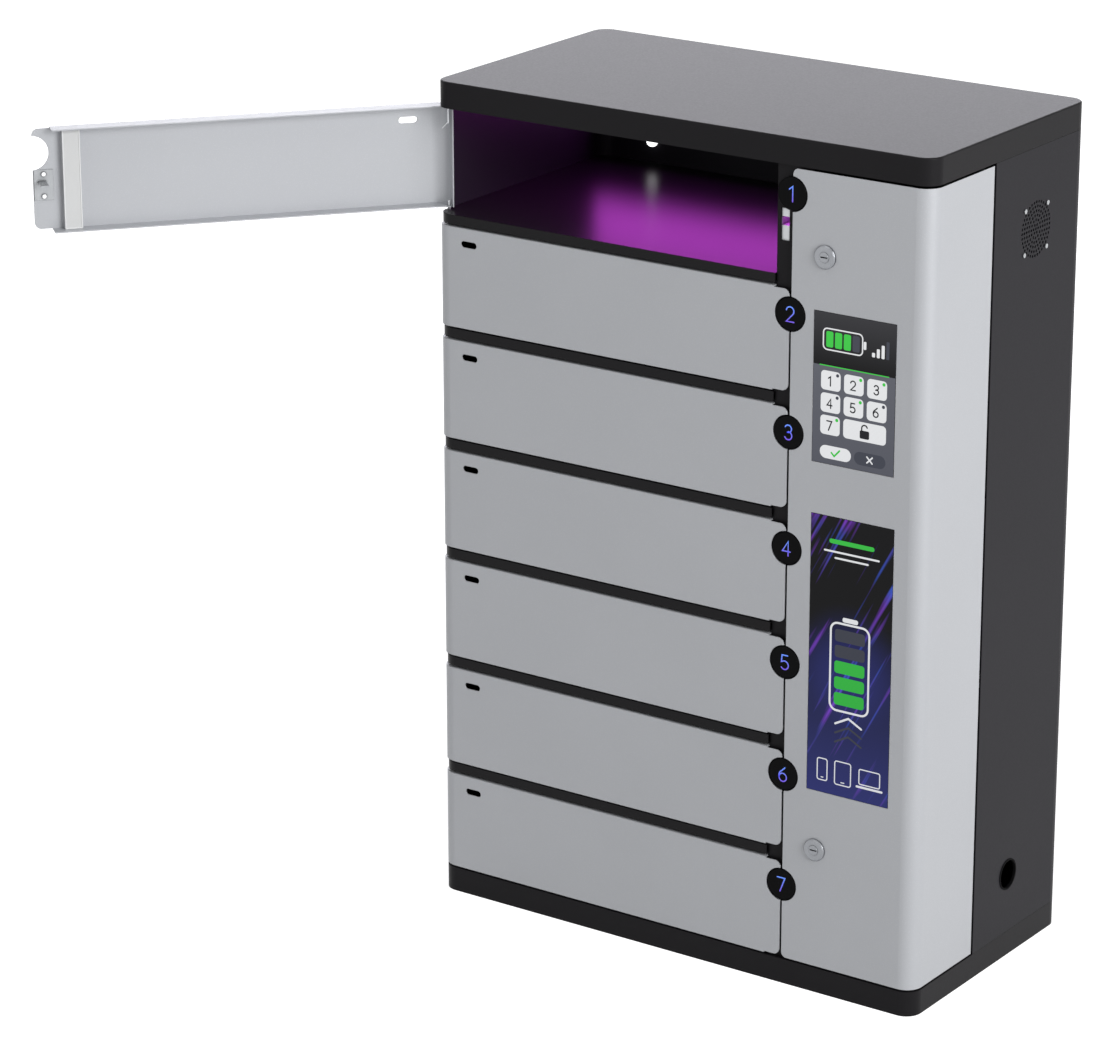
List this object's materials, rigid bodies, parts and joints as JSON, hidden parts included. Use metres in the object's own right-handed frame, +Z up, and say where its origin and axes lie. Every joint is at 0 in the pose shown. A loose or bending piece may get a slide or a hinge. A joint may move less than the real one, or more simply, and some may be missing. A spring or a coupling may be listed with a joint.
{
  "type": "charging locker",
  "caption": "Free-standing sheet-metal charging locker: stacked compartments behind left-hinged doors beside a hinged control panel with a touch screen and a tall display.",
  "frame": {"origin": "middle of the base's underside, on the floor", "axes": "+X to the right as seen from the front, +Y to the back, +Z up; the doors and the control panel face -Y"},
  "size_m": [0.9799, 0.684, 1],
  "materials": {
    "black_powder_coat": "fine satin powder coat",
    "charcoal_powder_coat": "fine satin powder coat",
    "silver_powder_coat": "satin silver-grey powder coat",
    "badge_acrylic": "gloss black",
    "lock_steel": "bright zinc plated",
    "lock_chrome": "polished",
    "light_diffuser": "opal diffuser, lit violet",
    "lamp_dome": "opal",
    "port_plastic": "moulded",
    "supply_aluminium": "mill finish",
    "fan_plastic": "moulded",
    "grommet_rubber": "matt",
    "touch_glass": "glossy screen",
    "display_glass": "glossy screen"
  },
  "bodies": {
    "cabinet": {"base_plinth": "black_powder_coat", "base_plate": "charcoal_powder_coat", "top_cover": "black_powder_coat", "ceiling_panel": "charcoal_powder_coat", "left_side_panel": "charcoal_powder_coat", "right_side_panel": "charcoal_powder_coat", "back_panel": "charcoal_powder_coat", "partition_wall": "charcoal_powder_coat", "mullion": "black_powder_coat", "shelf_1": "black_powder_coat", "shelf_2": "black_powder_coat", "shelf_3": "black_powder_coat", "shelf_4": "black_powder_coat", "shelf_5": "black_powder_coat", "shelf_6": "black_powder_coat", "number_badges": "badge_acrylic", "lock_cases": "lock_steel", "light_bars": "light_diffuser", "dome_lamps": "lamp_dome", "charging_ports": "port_plastic", "power_supply": "supply_aluminium", "fan_frame": "fan_plastic", "fan_screws": "lock_steel", "cable_grommet": "grommet_rubber"},
    "fan_rotor": {"fan_rotor": "fan_plastic"},
    "control_panel": {"control_panel": "silver_powder_coat", "touch_screen": "touch_glass", "lower_display": "display_glass", "panel_lock_bodies": "lock_chrome", "panel_hinge_pins": "lock_steel"},
    "upper_plug": {"upper_lock_plug": "lock_chrome"},
    "lower_plug": {"lower_lock_plug": "lock_chrome"},
    "door_1": {"door_1_shell": "silver_powder_coat", "door_1_striker": "lock_steel", "door_1_pins": "lock_steel"},
    "latch_1": {"door_1_latch": "lock_steel"},
    "door_2": {"door_2_shell": "silver_powder_coat", "door_2_striker": "lock_steel", "door_2_pins": "lock_steel"},
    "latch_2": {"door_2_latch": "lock_steel"},
    "door_3": {"door_3_shell": "silver_powder_coat", "door_3_striker": "lock_steel", "door_3_pins": "lock_steel"},
    "latch_3": {"door_3_latch": "lock_steel"},
    "door_4": {"door_4_shell": "silver_powder_coat", "door_4_striker": "lock_steel", "door_4_pins": "lock_steel"},
    "latch_4": {"door_4_latch": "lock_steel"},
    "door_5": {"door_5_shell": "silver_powder_coat", "door_5_striker": "lock_steel", "door_5_pins": "lock_steel"},
    "latch_5": {"door_5_latch": "lock_steel"},
    "door_6": {"door_6_shell": "silver_powder_coat", "door_6_striker": "lock_steel", "door_6_pins": "lock_steel"},
    "latch_6": {"door_6_latch": "lock_steel"},
    "door_7": {"door_7_shell": "silver_powder_coat", "door_7_striker": "lock_steel", "door_7_pins": "lock_steel"},
    "latch_7": {"door_7_latch": "lock_steel"}
  },
  "joints": [
    {"name": "panel_hinge", "type": "hinge", "parent": "cabinet", "child": "control_panel", "pos_m": [0.3225, -0.052, 0.5], "axis": [0, 0, 1], "range_deg": [0, 110]},
    {"name": "upper_lock_turn", "type": "hinge", "parent": "control_panel", "child": "upper_plug", "pos_m": [0.19785, -0.17, 0.8731], "axis": [0, 1, 0], "range_deg": [0, 90]},
    {"name": "lower_lock_turn", "type": "hinge", "parent": "control_panel", "child": "lower_plug", "pos_m": [0.19785, -0.17, 0.17647], "axis": [0, 1, 0], "range_deg": [0, 90]},
    {"name": "fan_spin", "type": "hinge", "parent": "cabinet", "child": "fan_rotor", "pos_m": [0.3215, 0.058, 0.8748], "axis": [1, 0, 0], "continuous": true},
    {"name": "door_1_hinge", "type": "hinge", "parent": "cabinet", "child": "door_1", "pos_m": [-0.3253, -0.149, 0.90673], "axis": [0, 0, -1], "range_deg": [-130, 0]},
    {"name": "latch_1_slide", "type": "slide", "parent": "cabinet", "child": "latch_1", "axis": [0, 0, 1], "range_m": [0, 0.005]},
    {"name": "door_2_hinge", "type": "hinge", "parent": "cabinet", "child": "door_2", "pos_m": [-0.3253, -0.149, 0.77099], "axis": [0, 0, -1], "range_deg": [0, 130]},
    {"name": "latch_2_slide", "type": "slide", "parent": "cabinet", "child": "latch_2", "axis": [0, 0, 1], "range_m": [0, 0.005]},
    {"name": "door_3_hinge", "type": "hinge", "parent": "cabinet", "child": "door_3", "pos_m": [-0.3253, -0.149, 0.63524], "axis": [0, 0, -1], "range_deg": [0, 130]},
    {"name": "latch_3_slide", "type": "slide", "parent": "cabinet", "child": "latch_3", "axis": [0, 0, 1], "range_m": [0, 0.005]},
    {"name": "door_4_hinge", "type": "hinge", "parent": "cabinet", "child": "door_4", "pos_m": [-0.3253, -0.149, 0.4995], "axis": [0, 0, -1], "range_deg": [0, 130]},
    {"name": "latch_4_slide", "type": "slide", "parent": "cabinet", "child": "latch_4", "axis": [0, 0, 1], "range_m": [0, 0.005]},
    {"name": "door_5_hinge", "type": "hinge", "parent": "cabinet", "child": "door_5", "pos_m": [-0.3253, -0.149, 0.36376], "axis": [0, 0, -1], "range_deg": [0, 130]},
    {"name": "latch_5_slide", "type": "slide", "parent": "cabinet", "child": "latch_5", "axis": [0, 0, 1], "range_m": [0, 0.005]},
    {"name": "door_6_hinge", "type": "hinge", "parent": "cabinet", "child": "door_6", "pos_m": [-0.3253, -0.149, 0.22801], "axis": [0, 0, -1], "range_deg": [0, 130]},
    {"name": "latch_6_slide", "type": "slide", "parent": "cabinet", "child": "latch_6", "axis": [0, 0, 1], "range_m": [0, 0.005]},
    {"name": "door_7_hinge", "type": "hinge", "parent": "cabinet", "child": "door_7", "pos_m": [-0.3253, -0.149, 0.09227], "axis": [0, 0, -1], "range_deg": [0, 130]},
    {"name": "latch_7_slide", "type": "slide", "parent": "cabinet", "child": "latch_7", "axis": [0, 0, 1], "range_m": [0, 0.005]}
  ]
}
